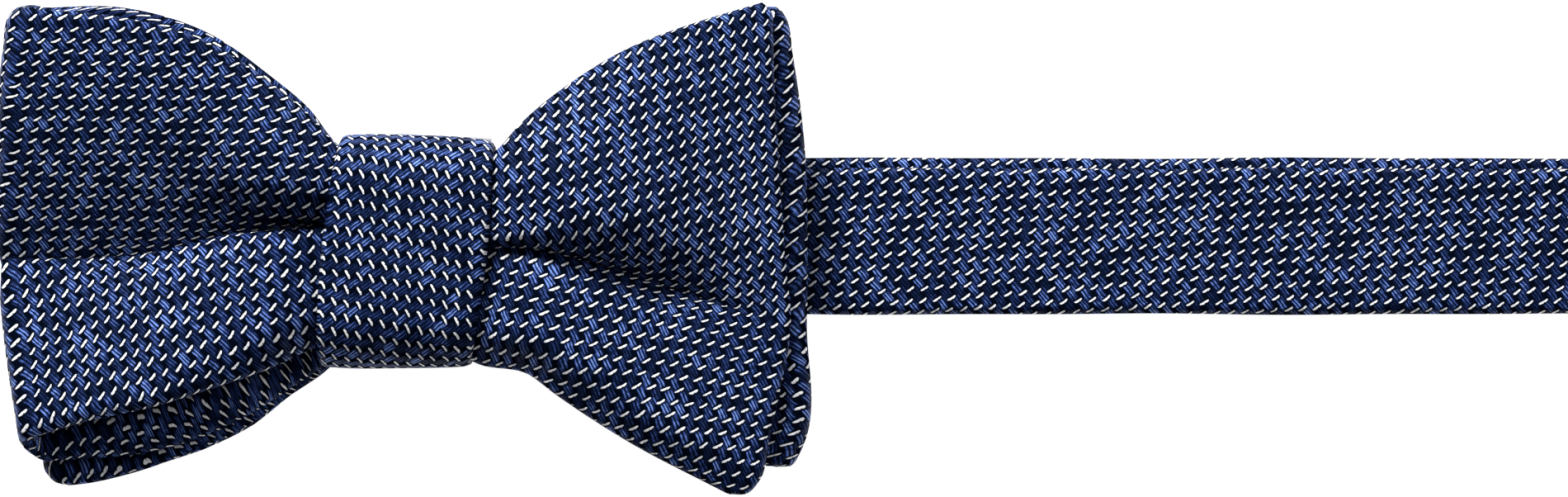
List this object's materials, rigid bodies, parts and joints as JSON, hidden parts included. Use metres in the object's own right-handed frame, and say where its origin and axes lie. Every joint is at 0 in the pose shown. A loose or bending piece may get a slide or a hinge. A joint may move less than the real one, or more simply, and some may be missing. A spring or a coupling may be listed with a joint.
{
  "type": "bow tie",
  "caption": "Pre-tied bow tie lying flat: padded silk bow with a wrapped knot, on a flat neck band with a slide buckle, a hook and an eye.",
  "frame": {"origin": "on the underside of the neck band's rear run, behind the middle of the knot", "axes": "+X along the neck band from the bow to the hook and eye, +Y up the bow as worn, +Z out of the bow's front"},
  "size_m": [0.2819, 0.0686, 0.0196],
  "materials": {
    "silk": "navy woven silk with small pale dashes, soft sheen",
    "interlining": "matt brushed wool and cotton interlining",
    "thread": "navy sewing thread",
    "nickel": "nickel-plated stamped steel"
  },
  "bodies": {
    "neck_band": {"front_band_silk": "silk", "front_band_interlining": "interlining", "band_fold": "silk", "adjuster_tail": "silk"},
    "bow": {"front_bow_silk": "silk", "front_bow_interlining": "interlining", "rear_bow_silk": "silk", "rear_bow_interlining": "interlining", "gather_thread": "thread", "knot_wrap_silk": "silk", "knot_wrap_interlining": "interlining", "knot_seam_thread": "thread"},
    "rear_band": {"rear_band_silk": "silk", "rear_band_interlining": "interlining", "eye_bartack": "thread"},
    "eye_fitting": {"eye": "nickel"},
    "slide": {"slide_buckle": "nickel", "slide_end_loop": "silk", "slide_bartack": "thread"},
    "hook_carrier": {"hook_loop": "silk", "adjuster_return": "silk"},
    "hook_fitting": {"hook": "nickel"}
  },
  "joints": [
    {"name": "bow_slide", "type": "slide", "parent": "neck_band", "child": "bow", "axis": [1, 0, 0], "range_m": [-0.008, 0.015]},
    {"name": "band_fold_hinge", "type": "hinge", "parent": "neck_band", "child": "rear_band", "pos_m": [-0.0223, 0.002, 0.0026], "axis": [0, 1, 0], "range_deg": [0, 180], "deforming": ["band_fold"]},
    {"name": "eye_hinge", "type": "hinge", "parent": "rear_band", "child": "eye_fitting", "pos_m": [0.214, 0.0028, 0.0021], "axis": [0, -1, 0], "range_deg": [0, 110]},
    {"name": "adjuster_slide", "type": "slide", "parent": "neck_band", "child": "slide", "axis": [1, 0, 0], "range_m": [-0.045, 0]},
    {"name": "hook_travel", "type": "slide", "parent": "neck_band", "child": "hook_carrier", "axis": [1, 0, 0], "range_m": [-0.0225, 0], "deforming": ["adjuster_tail", "adjuster_return"]},
    {"name": "hook_hinge", "type": "hinge", "parent": "hook_carrier", "child": "hook_fitting", "pos_m": [0.184, 0.0013, 0.00495], "axis": [0, -1, 0], "range_deg": [0, 110]}
  ],
  "couplings": [
    {"joint": "hook_travel", "follows": "adjuster_slide", "ratio": 0.5}
  ]
}
